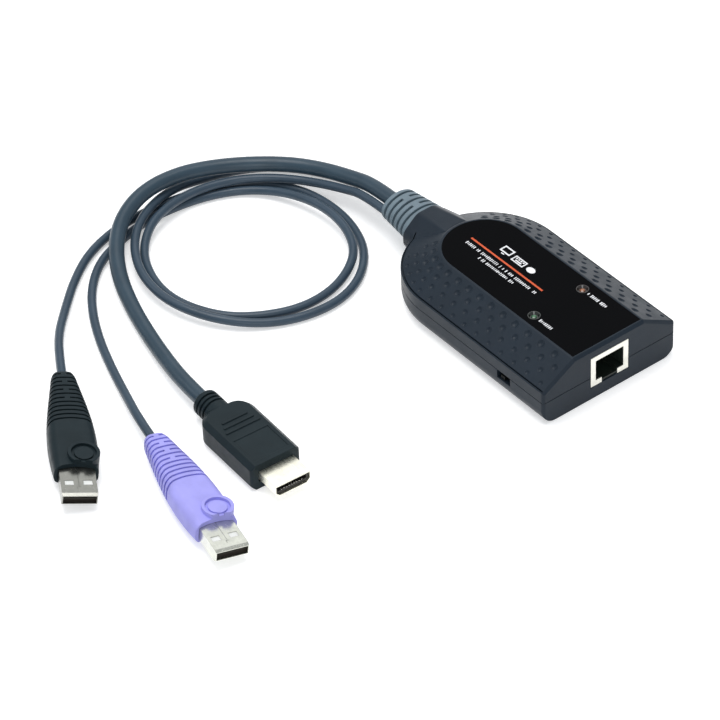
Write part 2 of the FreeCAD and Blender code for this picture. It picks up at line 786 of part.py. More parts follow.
def circuit_board():
    body = doc.addObject("PartDesign::Body", "circuit_board")
    sketch = body_sketch(body, "board_outline", "XY_Plane")
    front, rear, half = BOARD_FRONT, BOARD_REAR, BOARD_HALF
    nick = 3.0
    draw(sketch, [(rear, -half + nick), (rear + nick, -half), (front, -half), (front, half), (rear + nick, half),
                  (rear, half - nick)])
    for x, y in screw_places():
        circle_in(sketch, x, y, S["boss_radius"] + 0.2)
    pad(body, sketch, "board_pad", S["board_thickness"])
    return place(body, 0, 0, S["board_height"])


def network_jack():
    sheet_gap = S["shield_sheet"]
    half = S["jack_width"] / 2
    rear = FRONT - S["jack_depth"]
    can = slab("shield_can", rear, FRONT, half, BOARD_TOP, JACK_TOP)
    hollow = slab("shield_hollow", rear + sheet_gap, FRONT - sheet_gap, half - sheet_gap, BOARD_TOP - 1,
                  JACK_TOP - sheet_gap)
    mouth = slab("shield_mouth", FRONT - 2, FRONT + 1, S["socket_width"] / 2, SOCKET_BOTTOM, SOCKET_TOP)
    notch = slab("shield_notch", FRONT - 2, FRONT + 1, S["latch_width"] / 2, BOARD_TOP - 1, SOCKET_BOTTOM + 1)
    shield = cut("network_jack_shield", can, [hollow, mouth, notch])

    gap = sheet_gap + 0.05
    block = slab("jack_block", rear + gap, FRONT - gap, half - gap, BOARD_TOP, JACK_TOP - gap)
    socket = slab("jack_socket", FRONT - S["socket_depth"], FRONT + 1, S["socket_width"] / 2, SOCKET_BOTTOM,
                  SOCKET_TOP)
    latch = slab("jack_latch_way", FRONT - S["socket_depth"], FRONT + 1, S["latch_width"] / 2,
                 BOARD_TOP + 0.8, SOCKET_BOTTOM + 1)
    insulator = cut("network_jack_body", block, [socket, latch])

    # Eight spring contacts against the roof of the socket
    wires = []
    for i in range(8):
        y = (i - 3.5) * 1.02
        wires.append(box("contact_%d" % i, 9.0, 0.4, 0.5, FRONT - S["socket_depth"], y - 0.2, SOCKET_TOP - 0.5))
        wires.append(box("contact_heel_%d" % i, 1.2, 0.4, 1.2, FRONT - S["socket_depth"], y - 0.2, SOCKET_TOP - 1.7))
    contacts = fuse("network_jack_contacts", wires)
    return [shield, insulator, contacts]


def mode_switch():
    centre = FRONT - S["switch_back"]
    inner = -HALF_WIDTH + S["wall"] + 0.25
    half = S["switch_length"] / 2
    case = box("switch_case", S["switch_length"], S["switch_depth"], S["switch_height"], centre - half, inner, BOARD_TOP)
    slot_length = S["knob_length"] + S["knob_travel"] + S["knob_clearance"] * 2
    middle = BOARD_TOP + S["switch_height"] / 2
    slot_height = S["knob_height"] + S["knob_clearance"] * 2
    slot = box("switch_slot", slot_length, S["switch_depth"] / 2 + 1, slot_height, centre - slot_length / 2, inner - 1,
               middle - slot_height / 2)
    body = cut("switch_body", case, [slot])
    knob_out = -HALF_WIDTH + S["knob_recess"]
    knob_in = inner + S["switch_depth"] / 2 - S["knob_clearance"]
    slider = box("switch_slider", S["knob_length"], knob_in - knob_out, S["knob_height"],
                 centre - S["knob_travel"] / 2 - S["knob_length"] / 2, knob_out, middle - S["knob_height"] / 2)
    return [body, slider]


def board_parts():
    top = BOARD_TOP
    header = box("cable_header", S["header_length"], S["header_width"], S["header_height"], BOARD_REAR + 0.6,
                 -S["header_width"] / 2 - 0.4, top)
    side = S["video_chip_side"]
    video_chip = box("video_chip", side, side, 1.5, BOARD_REAR + S["chips_ahead"], -side / 2, top)
    side = S["control_chip_side"]
    control_chip = box("control_chip", side, side, 1.2, BOARD_REAR + S["control_chip_ahead"],
                       S["control_chip_inset"] - BOARD_HALF, top)
    crystal = box("clock_crystal", S["crystal_length"], S["crystal_width"], 1.3, BOARD_REAR + S["chips_ahead"],
                  S["crystal_inset"] - BOARD_HALF, top)
    magnetics = box("network_magnetics", S["magnetics_length"], S["magnetics_width"], 6.0, FRONT - S["magnetics_back"],
                    -S["magnetics_width"] / 2, top)
    cans = [cylinder("capacitor_%d" % i, S["capacitor_radius"], S["capacitor_height"],
                     BOARD_REAR + S["chips_ahead"] + 3 + S["capacitor_pitch"] * i, BOARD_HALF - S["capacitor_inset"], top)
            for i in range(3)]
    return [header, video_chip, control_chip, crystal, magnetics, fuse("capacitors", cans)]


def cable_tails():
    # The cords' inner ends, from the boot's flange to the header
    start = MOUTH_X + S["wall"] + S["boot_flange"]
    end = BOARD_REAR + 0.6
    tails = []
    for name, (y, z) in CORD_EXITS.items():
        radius = (S["video_cord_radius"] if name == "video" else S["data_cord_radius"]) - S["tail_inset"]
        tails.append(cylinder("tail_" + name, radius, end - start, start, y, z, ALONG_X))
    return fuse("cable_tails", tails)


def case_screws():
    screws = []
    for i, (x, y) in enumerate(screw_places()):
        head = cylinder("screw_head_%d" % i, S["screw_head_radius"], S["screw_head"], x, y,
                        S["counterbore"] - S["screw_head"])
        shank = cylinder("screw_shank_%d" % i, S["screw_radius"], S["screw_length"], x, y, S["counterbore"])
        drive = box("screw_drive_%d" % i, 2.6, 0.5, 0.6, x - 1.3, y - 0.25, S["counterbore"] - S["screw_head"])
        cross = box("screw_cross_%d" % i, 0.5, 2.6, 0.6, x - 0.25, y - 1.3, S["counterbore"] - S["screw_head"])
        screws.append(cut("screw_%d" % i, fuse("screw_solid_%d" % i, [head, shank]), [drive, cross]))
    return fuse("case_screws", screws)


# ---------------------------------------------------------------- boot

def boot_taper(name, inset):
    z = S["boot_height"]
    mouth = ellipse(name + "_root", S["boot_root_half_width"] - inset, S["boot_root_half_height"] - inset, MOUTH_X, 0, z)
    tip = ellipse(name + "_tip", S["boot_tip_half_width"] - inset, S["boot_tip_half_height"] - inset, BOOT_TIP_X, 0, z)
    return loft(name, [mouth, tip], True)


def cable_boot():
    outer = boot_taper("boot_outer", size(0))
    tip_edges = edges_of(outer, lambda e: e.BoundBox.XMax < BOOT_TIP_X.value + 0.01)
    softened = fillet("boot_softened", outer, [(n, S["boot_tip_round"].value) for n in tip_edges])
    core = boot_taper("boot_core", S["boot_slot_depth"])
    slots = []
    half = S["boot_slot"] / 2
    reach = S["boot_root_half_width"] + 2
    for i in range(5):
        x = BOOT_TIP_X + 2.6 + S["boot_slot_pitch"] * i
        ring = slab("boot_slot_%d" % i, x - half, x + half, reach, S["boot_slot_foot"], S["boot_height"] + 10)
        if i % 2:
            bridge = slab("boot_bridge_%d" % i, x - 1, x + 1, S["boot_rib"] / 2, S["boot_height"], S["boot_height"] + 11)
            ring = cut("boot_split_slot_%d" % i, ring, [bridge])
        slots.append(ring)
    cutter = cut("boot_slots", fuse("boot_slot_rings", slots), [core])
    slotted = cut("boot_slotted", softened, [cutter])

    step = S["boot_neck_step"]
    wide, tall = S["boot_root_half_width"], S["boot_root_half_height"]
    z = S["boot_height"]
    stem_end = MOUTH_X + S["wall"]
    flange_end = stem_end + S["boot_flange"]
    stem = oval_bar("boot_stem", wide - step, tall - step, MOUTH_X, stem_end, z)
    edge = S["boot_flange_step"]
    flange = oval_bar("boot_flange", wide - edge, tall - edge, stem_end, flange_end, z)
    return fuse("cable_boot", [slotted, stem, flange])


# ---------------------------------------------------------------- plugs
# Each plug is built with its mouth at the origin, pointing along +X, and then laid in place.

def plug_height(plug):
    return S[("video" if plug == "video" else "data") + "_plug_height"]


def lay(item, plug):
    # Turned the way the plug points, and rolled about the plug's own axis
    turned = FreeCAD.Rotation(Vector(0, 0, 1), S[plug + "_plug_turn"].value)
    rolled = turned * FreeCAD.Rotation(Vector(1, 0, 0), S[plug + "_plug_roll"].value)
    height = plug_height(plug).value
    middle = Vector(S[plug + "_plug_x"].value, S[plug + "_plug_y"].value, height)
    item.Placement = FreeCAD.Placement(middle - rolled.multVec(Vector(0, 0, height)), rolled)
    return item


# Data plug grip: how far back along its length, half width and half height
GRIP_STATIONS = [(0, 7.4, 3.7), (0.19, 8.1, 4.5), (0.465, 7.7, 4.4), (0.7, 6.2, 4.0), (0.94, 4.3, 3.4), (0.98, 3.6, 3.0),
                 (1, 2.7, 2.3)]


def grip_form(inset):
    # Rounded oblong sections, joined smoothly along the grip and plainly over its rear end
    middle = S["data_plug_height"].value
    wires = []
    for back, half, tall in GRIP_STATIONS:
        wide, high = half - inset, tall - inset
        corners = [(-wide, middle - high), (wide, middle - high), (wide, middle + high), (-wide, middle + high)]
        wires.append(rounded_wire(corners, high * S["data_grip_corner"].value,
                                  -S["data_shell_out"] - S["data_grip_length"] * back))
    return Part.makeLoft(wires[:5], True, False).fuse(Part.makeLoft(wires[4:], True, True))


def grip_slots():
    # Slots round the grip that bow towards the cord: every second one of the first seven is split on top
    sweep, half_slot = S["grip_slot_sweep"].value, S["grip_slot"].value / 2
    middle, reach = S["data_plug_height"].value, 6
    rear = -(S["data_shell_out"] + S["data_grip_length"]).value
    rings = []
    for i in range(12):
        x = rear + S["grip_slot_first"].value + S["grip_slot_pitch"].value * i
        centre = Vector(x + sweep, 0, middle - reach)
        ring = Part.makeCylinder(sweep + half_slot, 2 * reach, centre, Vector(0, 0, 1), 80)
        ring = ring.cut(Part.makeCylinder(sweep - half_slot, 2 * reach, centre, Vector(0, 0, 1)))
        ring.rotate(centre, Vector(0, 0, 1), 140)
        if i in (0, 2, 4, 6):
            rib = S["grip_rib"].value
            ring = ring.cut(Part.makeBox(3, rib, 12, Vector(x - 1.5, -rib / 2, middle)))
        rings.append(ring)
    return Part.makeCompound(rings).cut(grip_form(S["grip_slot_depth"].value))


def data_grip(plug, form, slots):
    name = plug + "_plug_grip"
    middle = S["data_plug_height"]
    front = -S["data_shell_out"]
    # Ring disc near the front, overhanging one side
    disc_x = -S["disc_back"]
    side = S["disc_side"]
    top = middle + GRIP_STATIONS[1][2] + S["disc_rise"]
    disc = cylinder(name + "_disc", S["disc_radius"], top - 3.6, disc_x, side, 3.6)
    joined = fuse(name + "_joined", [computed(name + "_form", form), disc])
    dish = cylinder(name + "_dish", S["disc_radius"] - S["disc_rim"], 2.0, disc_x, side, top - S["disc_dish"])
    button = cylinder(name + "_button", S["button_radius"], S["button_rise"] + 0.5, disc_x, side,
                      top - S["disc_dish"] - 0.5)
    # Hollowed front lip
    lip = cylinder(name + "_lip", S["grip_lip_sweep"], 30, front - S["grip_lip_depth"] + S["grip_lip_sweep"], 0, -5)
    seat = slab(name + "_seat", front - S["data_shell_in"] - 0.05, front + 1, S["data_shell_width"] / 2 + 0.05,
                middle - S["data_shell_height"] / 2 - 0.05, middle + S["data_shell_height"] / 2 + 0.05)
    hollowed = cut(name + "_hollowed", joined, [cut(name + "_dish_ring", dish, [button]), lip, seat])
    return lay(cut(name, hollowed, [computed(name + "_slots", slots)]), plug)


def flared_bar(name, rear, lip_x, end_x, half_w, half_h, middle, inset, drop):
    # A straight bar whose last part draws in towards its end
    def corners(wide, high):
        return [(-wide, middle - high), (wide, middle - high), (wide, middle + high), (-wide, middle + high)]
    straight = slab(name + "_straight", rear, lip_x, half_w, middle - half_h, middle + half_h)
    drawn = loft(name + "_drawn", [section(name + "_wide", corners(half_w, half_h), lip_x),
                                   section(name + "_narrow", corners(half_w - inset, half_h - drop), end_x)], True)
    return fuse(name, [straight, drawn])


def data_plug(plug, form, slots):
    name = plug + "_plug"
    middle = S["data_plug_height"]
    half_w, half_h = S["data_shell_width"] / 2, S["data_shell_height"] / 2
    thick = S["data_shell_sheet"]
    rear = -S["data_shell_out"] - S["data_shell_in"]
    lip, drop, inset = S["shell_lip"], S["shell_lip_drop"], S["shell_lip_inset"]
    tube = flared_bar(name + "_tube", rear, -lip, size(0), half_w, half_h, middle, inset, drop)
    bore = flared_bar(name + "_bore", rear - 1, -lip, lip, half_w - thick, half_h - thick, middle, inset * 2, drop * 2)
    wide, length = S["shell_window_width"], S["shell_window_length"]
    windows = [box("%s_window_%d" % (name, s), length, wide, S["data_shell_height"] + 2,
                   -S["shell_window_back"] - length / 2, S["shell_window_spread"] / 2 * s - wide / 2, middle - half_h - 1)
               for s in (1, -1)]
    # Folded seam along the top, hooked near its end
    seam = S["shell_seam"]
    seam_bottom = middle + half_h - S["shell_seam_depth"]
    seams = [box(name + "_seam_" + part, long, across, size(1), x, y, seam_bottom)
             for part, long, across, x, y in (("line", -rear - 4.2, seam, rear, -seam / 2),
                                              ("hook", seam, size(1.2), size(-4.2), size(-0.6)),
                                              ("end", size(1.2), seam, size(-4.2), size(-0.6)))]
    shell = cut(name + "_shell", tube, [bore] + windows + seams)
    inner = half_w - thick - 0.05
    floor = middle - half_h + thick + 0.05
    roof = middle + half_h - thick - 0.05
    tongue = slab(name + "_tongue_bar", rear, -lip - 0.3, inner, floor, floor + S["data_tongue"])
    plug_back = slab(name + "_tongue_block", rear, rear + 5.0, inner, floor, roof)
    leaves = [box("%s_leaf_%d" % (name, s), -rear - 8.5, wide + 0.8, S["leaf_thickness"], rear + 4,
                  S["shell_window_spread"] / 2 * s - wide / 2 - 0.4, roof - S["leaf_thickness"]) for s in (1, -1)]
    insert = fuse(name + "_insert", [tongue, plug_back] + leaves)
    strips = []
    for i, y in enumerate((-3.5, -1.0, 1.0, 3.5)):
        strips.append(box("%s_strip_%d" % (name, i), 7.0, 1.0, 0.15, -9.0, y - 0.5, floor + S["data_tongue"]))
    contacts = fuse(name + "_contacts", strips)
    return [data_grip(plug, form, slots)] + [lay(item, plug) for item in (shell, insert, contacts)]


def video_grip():
    middle = S["video_plug_height"]
    half_h = S["video_grip_height"] / 2
    half_w = S["video_grip_width"] / 2
    front = -S["video_shell_out"]
    rear = front - S["video_grip_length"]
    block = slab("video_grip_block", rear, front, half_w, middle - half_h, middle + half_h)
    shoulders = edges_of(block, lambda e: e.BoundBox.ZLength > 1 and e.BoundBox.XMax < rear.value + 0.01)
    rounded = fillet("video_grip_rounded", block, [(n, S["video_shoulder_round"].value) for n in shoulders])
    rims = edges_of(rounded, lambda e: e.BoundBox.ZLength < 0.01 and e.BoundBox.XMin < front.value - 2)
    edge = S["video_edge"].value
    bevelled = chamfer("video_grip_bevelled", rounded, [(n, edge, edge) for n in rims])
    noses = edges_of(bevelled, lambda e: e.BoundBox.XLength < 0.01 and e.BoundBox.XMin > front.value - 0.1
                     and e.BoundBox.ZLength > 5)
    eased = fillet("video_grip_eased", bevelled, [(n, S["video_nose_round"].value) for n in noses])
    neck_end = rear - S["video_neck_length"]
    neck = cylinder("video_neck", S["video_neck_radius"], S["video_neck_length"] + 2, neck_end, 0, middle, ALONG_X)
    neck_edges = edges_of(neck, lambda e: e.BoundBox.XMax < neck_end.value + 0.01)
    soft_neck = fillet("video_neck_soft", neck, [(n, 1.0) for n in neck_edges])
    bars = []
    for i in range(3):
        half = S["bar_length"] / 2 - 0.9 * i
        x = -S["bar_back"] - S["bar_pitch"] * i
        bars.append(slab("video_bar_%d" % i, x - S["bar_width"] / 2, x + S["bar_width"] / 2, half, middle + half_h - 1,
                         middle + half_h + S["bar_height"]))
    body = fuse("video_grip_body", [eased, soft_neck] + bars)
    grooves = []
    for i in range(3):
        x = neck_end + 2.2 + 1.9 * i
        ring = cylinder("video_groove_%d" % i, S["video_neck_radius"] + 1, S["video_neck_groove"], x, 0, middle, ALONG_X)
        core = cylinder("video_groove_core_%d" % i, S["video_neck_radius"] - 0.7, 3, x - 1, 0, middle, ALONG_X)
        grooves.append(cut("video_groove_ring_%d" % i, ring, [core]))
    recess = slab("video_recess", front - 2.2 - S["recess_length"], front - 2.2, S["recess_width"] / 2,
                  middle + half_h - S["recess_depth"], middle + half_h + 1)
    seat = slab("video_seat", front - S["video_shell_in"] - 0.05, front + 1, S["video_shell_width"] / 2 + 0.05,
                middle - S["video_shell_height"] / 2 - 0.05, middle + S["video_shell_height"] / 2 + 0.05)
    return cut("video_plug_grip", body, grooves + [recess, seat])


def video_outline(inset):
    middle = S["video_plug_height"]
    half_w = S["video_shell_width"] / 2 - inset
    low = middle - S["video_shell_height"] / 2 + inset
    high = middle + S["video_shell_height"] / 2 - inset
    corner = S["video_shell_chamfer"]
    return [(-half_w + corner, low), (half_w - corner, low), (half_w, low + corner), (half_w, high), (-half_w, high),
            (-half_w, low + corner)]


def video_plug():
    thick = S["video_shell_sheet"]
    rear = -S["video_shell_out"] - S["video_shell_in"]
    tube = loft("video_tube", [section("video_tube_rear", video_outline(size(0)), rear),
                               section("video_tube_front", video_outline(size(0)), size(0))], True)
    bore = loft("video_bore", [section("video_bore_rear", video_outline(thick), rear - 1),
                               section("video_bore_front", video_outline(thick), size(1))], True)
    shell = cut("video_plug_shell", tube, [bore])
    gap = thick + 0.05
    block = loft("video_insert_block", [section("video_insert_rear", video_outline(gap), rear),
                                        section("video_insert_front", video_outline(gap), size(-0.8))], True)
    middle = S["video_plug_height"]
    mouth = slab("video_insert_mouth", size(-8.5), size(1), S["video_shell_width"] / 2 - 1.2, middle - 0.75,
                 middle + 0.95)
    insert = cut("video_plug_insert", block, [mouth])
    pins = [box("video_pin_%d" % i, 6.5, 0.5, 0.2, -7.6, i - 4.75, middle + 0.75) for i in range(10)]
    pins += [box("video_low_pin_%d" % i, 6.7, 0.55, 0.2, -7.6, i - 4.28, middle - 0.75) for i in range(9)]
    contacts = fuse("video_plug_contacts", pins)
    return [lay(item, "video") for item in (video_grip(), shell, insert, contacts)]


# ---------------------------------------------------------------- cords

def plug_entry(plug):
    # Where the cord meets the plug's rear face, and the way the plug points
    turn = math.radians(S[plug + "_plug_turn"].value)
    forward = Vector(math.cos(turn), math.sin(turn), 0)
    if plug == "video":
        back = S["video_shell_out"] + S["video_grip_length"] + S["video_neck_length"]
    else:
        back = S["data_shell_out"] + S["data_grip_length"]
    point = Vector(S[plug + "_plug_x"].value, S[plug + "_plug_y"].value, plug_height(plug).value)
    return point - forward * back.value, forward


def cord_path(points):
    # Straight runs joined by tangent arcs, each as large as its two runs allow
    edges = []
    radii = []
    at = points[0]
    for before, corner, after in zip(points, points[1:], points[2:]):
        back, ahead = before - corner, after - corner
        reach = 0.45 * min(back.Length, ahead.Length)
        radii.append(reach * math.tan(back.getAngle(ahead) / 2))
        start, middle, end = bend(before, corner, after, radii[-1])
        edges.append(Part.LineSegment(at, start).toShape())
        edges.append(Part.Arc(start, middle, end).toShape())
        at = end
    edges.append(Part.LineSegment(at, points[-1]).toShape())
    return Part.Wire(edges), radii


def cord(name, exit_name, route, plug, radius):
    y, z = CORD_EXITS[exit_name]
    start = Vector(BOOT_TIP_X.value, y, z)
    entry, forward = plug_entry(plug)
    last_run = S["video_cord_last_run"] if plug == "video" else S["cord_last_run"]
    points = [start, start - Vector(S["cord_first_run"].value, 0, 0)] + [Vector(*point) for point in route]
    points += [entry - forward * last_run.value, entry]
    wire, radii = cord_path(points)
    path = doc.addObject("Part::Feature", name + "_path")
    path.Shape = wire
    ring = doc.addObject("Part::Circle", name + "_ring")
    bind(ring, Radius=radius)
    ring.Placement = FreeCAD.Placement(points[0], FreeCAD.Rotation(Vector(0, 0, 1), points[1] - points[0]))
    item = doc.addObject("Part::Sweep", name)
    item.Sections = [ring]
    item.Spine = (path, ["Edge%d" % (i + 1) for i in range(len(wire.Edges))])
    item.Solid = True
    item.Frenet = False
    doc.recompute()
    ideal = math.pi * radius.value ** 2 * wire.Length
    print("%s: length %.1f, smallest radius %.1f, volume %.1f against %.1f"
          % (name, wire.Length, min(radii), item.Shape.Volume, ideal))
    return item


def build():
    outside = housing_outside()
    shell = cut("housing_shell", outside, [housing_inside()])
    openings = [jack_hole(), boot_hole()]
    parts = [top_cover(outside, shell, openings), bottom_cover(outside, shell, openings), label_film()]
    for name, side in (("power", 1), ("link", -1)):
        parts.append(light_pipe(name + "_light_pipe", side))
        parts.append(light_emitter(name + "_light", side))
    parts.append(circuit_board())
    parts += network_jack()
    parts += mode_switch()
    parts += board_parts()
    parts += [cable_tails(), case_screws(), cable_boot()]
    parts += video_plug()
    form, slots = grip_form(0), grip_slots()
    parts += data_plug("black", form, slots) + data_plug("violet", form, slots)
    parts.append(cord("video_cord", "video", VIDEO_ROUTE, "video", S["video_cord_radius"]))
    parts.append(cord("black_data_cord", "black", BLACK_ROUTE, "black", S["data_cord_radius"]))
    parts.append(cord("violet_data_cord", "violet", VIOLET_ROUTE, "violet", S["data_cord_radius"]))
    doc.recompute()
    return parts


def check_and_write(parts):
    for item in doc.Objects:
        if "Invalid" in item.State or "Error" in item.State:
            raise RuntimeError("failed: %s %s" % (item.Name, item.State))
    for item in parts:
        if item.Shape.isNull() or not item.Shape.isValid() or not item.Shape.Solids:
            raise RuntimeError("bad shape: " + item.Label)
    os.makedirs("parts", exist_ok=True)
    for item in parts:
        item.Shape.exportStep("parts/%s.step" % item.Label)
    print("%d nodes" % len(parts))


check_and_write(build())
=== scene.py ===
import math

import bmesh
import bpy
from mathutils import Matrix, Vector


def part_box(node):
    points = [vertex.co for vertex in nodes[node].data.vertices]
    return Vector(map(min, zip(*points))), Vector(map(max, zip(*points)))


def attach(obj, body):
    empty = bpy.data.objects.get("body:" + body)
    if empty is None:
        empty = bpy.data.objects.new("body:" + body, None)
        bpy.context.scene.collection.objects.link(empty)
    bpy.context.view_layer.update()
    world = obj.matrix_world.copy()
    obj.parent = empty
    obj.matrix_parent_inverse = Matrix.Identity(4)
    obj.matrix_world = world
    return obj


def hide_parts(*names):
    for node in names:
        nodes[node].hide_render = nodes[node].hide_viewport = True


# Adapter dongle: gives the fixed frame its finishes, and adds the cords and the label's print.
# The scene is in metres. Routes and print are written in millimetres and multiplied by mm.

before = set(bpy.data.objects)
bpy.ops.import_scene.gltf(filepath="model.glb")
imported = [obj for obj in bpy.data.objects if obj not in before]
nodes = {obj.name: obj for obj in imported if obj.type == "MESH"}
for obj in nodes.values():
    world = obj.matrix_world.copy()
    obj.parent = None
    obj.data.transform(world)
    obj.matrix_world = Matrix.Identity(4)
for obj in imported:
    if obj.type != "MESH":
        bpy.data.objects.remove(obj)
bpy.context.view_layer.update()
mm = 0.001


def place(name, data):
    item = bpy.data.objects.new(name, data)
    bpy.context.collection.objects.link(item)
    return item


def link(tree, start, end):
    tree.links.new(start, end)


# Camera and light

cameraView = {
    "target": (-0.01683, -0.05447, 0.0), "azimuth": 52.99, "elevation": 40.35, "roll": -2.26,
    "distance": 1.5286, "lens": 225.0, "sensor": 36.0, "farthest": 20.0,
}


def placeCamera(view):
    azimuth, elevation, roll = (math.radians(view[angle]) for angle in ("azimuth", "elevation", "roll"))
    flat = math.cos(elevation)
    back = Vector((math.sin(azimuth) * flat, -math.cos(azimuth) * flat, math.sin(elevation)))
    level = Vector((math.cos(azimuth), math.sin(azimuth), 0))
    up = back.cross(level)
    right = level * math.cos(roll) + up * math.sin(roll)
    head = up * math.cos(roll) - level * math.sin(roll)
    data = bpy.data.cameras.new("camera")
    data.lens = view["lens"]
    data.sensor_width = view["sensor"]
    data.clip_end = view["farthest"]
    camera = place("camera", data)
    turn = Matrix((right, head, back)).transposed().to_4x4()
    camera.matrix_world = Matrix.Translation(Vector(view["target"]) + back * view["distance"]) @ turn
    bpy.context.scene.camera = camera


lamps = {  # place, size and power of each soft lamp, aimed at the middle of the object
    "overheadLamp": {"at": (-0.25, -0.05, 1.5), "size": 1.1, "power": 15.0, "colour": (1.0, 0.99, 0.98)},
    "backLamp": {"at": (-0.95, 0.70, 1.0), "size": 1.1, "power": 2.1, "colour": (1.0, 1.0, 0.99)},
    "sideLamp": {"at": (-1.1, -0.9, 0.9), "size": 0.8, "power": 2.0, "colour": (0.93, 0.97, 1.0)},
    "frontLamp": {"at": (1.2, -0.9, 0.7), "size": 0.9, "power": 5.0, "colour": (0.97, 0.99, 1.0)},
}
lampAim = Vector((-0.03, -0.06, 0.0))


def hangLamps():
    for name, lamp in lamps.items():
        data = bpy.data.lights.new(name, "AREA")
        data.shape = "DISK"
        data.size = lamp["size"]
        data.energy = lamp["power"]
        data.color = lamp["colour"]
        item = place(name, data)
        item.location = lamp["at"]
        item.rotation_euler = (lampAim - Vector(lamp["at"])).to_track_quat("-Z", "Y").to_euler()


room = {
    "light": (0.93, 0.96, 1.0), "level": 0.5, "floorColour": (0.86, 0.86, 0.86), "floorGlow": 0.42,
    "floorHalf": 3.0, "floorDrop": 0.1 * mm,
}


def larger(tree, first, second):
    item = tree.nodes.new("ShaderNodeMath")
    item.operation = "MAXIMUM"
    link(tree, first, item.inputs[0])
    link(tree, second, item.inputs[1])
    return item.outputs[0]


def seenDirectly(tree):
    # 1 for rays from the camera and for what mirrors and clear plastic show
    path = tree.nodes.new("ShaderNodeLightPath")
    shown = larger(tree, path.outputs["Is Camera Ray"], path.outputs["Is Glossy Ray"])
    return larger(tree, shown, path.outputs["Is Transmission Ray"])


def paintWorld():
    world = bpy.data.worlds.new("room")
    bpy.context.scene.world = world
    world.use_nodes = True
    back = world.node_tree.nodes["Background"]
    back.inputs["Color"].default_value = (*room["light"], 1)
    back.inputs["Strength"].default_value = room["level"]


def layFloor():
    half, low = room["floorHalf"], -room["floorDrop"]
    corners = [(-half, -half, low), (half, -half, low), (half, half, low), (-half, half, low)]
    mesh = bpy.data.meshes.new("floor")
    mesh.from_pydata(corners, [], [(0, 1, 2, 3)])
    floor = place("floor", mesh)
    material = bpy.data.materials.new("paleFloor")
    material.use_nodes = True
    tree = material.node_tree
    tree.nodes.clear()
    out = tree.nodes.new("ShaderNodeOutputMaterial")
    plain = tree.nodes.new("ShaderNodeBsdfDiffuse")
    plain.inputs["Color"].default_value = (*room["floorColour"], 1)
    glow = tree.nodes.new("ShaderNodeEmission")
    glow.inputs["Strength"].default_value = room["floorGlow"]
    both = tree.nodes.new("ShaderNodeAddShader")
    link(tree, plain.outputs[0], both.inputs[0])
    link(tree, glow.outputs[0], both.inputs[1])
    mix = tree.nodes.new("ShaderNodeMixShader")
    link(tree, seenDirectly(tree), mix.inputs[0])
    link(tree, plain.outputs[0], mix.inputs[1])
    link(tree, both.outputs[0], mix.inputs[2])
    link(tree, mix.outputs[0], out.inputs["Surface"])
    mesh.materials.append(material)


placeCamera(cameraView)
hangLamps()
paintWorld()
layFloor()
bpy.context.scene.view_settings.view_transform = "Standard"
print("camera, lamps and floor set")


# Finishes: colours are linear, sizes in metres

def newMaterial(name):
    material = bpy.data.materials.new(name)
    material.use_nodes = True
    return material, material.node_tree, material.node_tree.nodes["Principled BSDF"]


def objectPoints(tree, stretch=(1, 1, 1), turn=0.0):
    # Points on the object, turned by degrees to lie level with a plug, then stretched
    where = tree.nodes.new("ShaderNodeTexCoord")
    mapping = tree.nodes.new("ShaderNodeMapping")
    mapping.inputs["Rotation"].default_value = (0, 0, math.radians(-turn))
    mapping.inputs["Scale"].default_value = stretch
    link(tree, where.outputs["Object"], mapping.inputs["Vector"])
    return mapping.outputs["Vector"]


def noise(tree, points, size, detail=2.0):
    item = tree.nodes.new("ShaderNodeTexNoise")
    item.inputs["Scale"].default_value = 1 / size
    item.inputs["Detail"].default_value = detail
    link(tree, points, item.inputs["Vector"])
    return item.outputs["Fac"]


def blendOf(tree, amount, low, high, span=(0.35, 0.65)):
    # A colour that goes from low to high over the given span of the amount
    ramp = tree.nodes.new("ShaderNodeValToRGB")
    for stop, position, colour in zip(ramp.color_ramp.elements, span, (low, high)):
        stop.position = position
        stop.color = (*colour, 1)
    link(tree, amount, ramp.inputs["Fac"])
    return ramp.outputs["Color"]


def between(tree, amount, low, high, span=(0.3, 0.7)):
    # A number that goes from low to high over the given span of the amount
    item = tree.nodes.new("ShaderNodeMapRange")
    item.inputs["From Min"].default_value = span[0]
    item.inputs["From Max"].default_value = span[1]
    item.inputs["To Min"].default_value = low
    item.inputs["To Max"].default_value = high
    link(tree, amount, item.inputs["Value"])
    return item.outputs["Result"]


def tinted(colour, factor):
    return tuple(min(1, channel * factor) for channel in colour)


def clouded(tree, amount, colour, tints):
    return blendOf(tree, amount, tinted(colour, tints[0]), tinted(colour, tints[1]))


easedSamples = 4


def relief(tree, shader, height, strength, distance, edge):
    # Fine bumps over edges that catch light as if they were eased
    bump = tree.nodes.new("ShaderNodeBump")
    bump.inputs["Strength"].default_value = strength
    bump.inputs["Distance"].default_value = distance
    link(tree, height, bump.inputs["Height"])
    if edge:
        eased = tree.nodes.new("ShaderNodeBevel")
        eased.samples = easedSamples
        eased.inputs["Radius"].default_value = edge
        link(tree, eased.outputs["Normal"], bump.inputs["Normal"])
    link(tree, bump.outputs["Normal"], shader.inputs["Normal"])


mouldedSpread = {"tints": (0.93, 1.07), "patchShare": 0.35, "rough": 0.05, "bumpShare": 0.5}


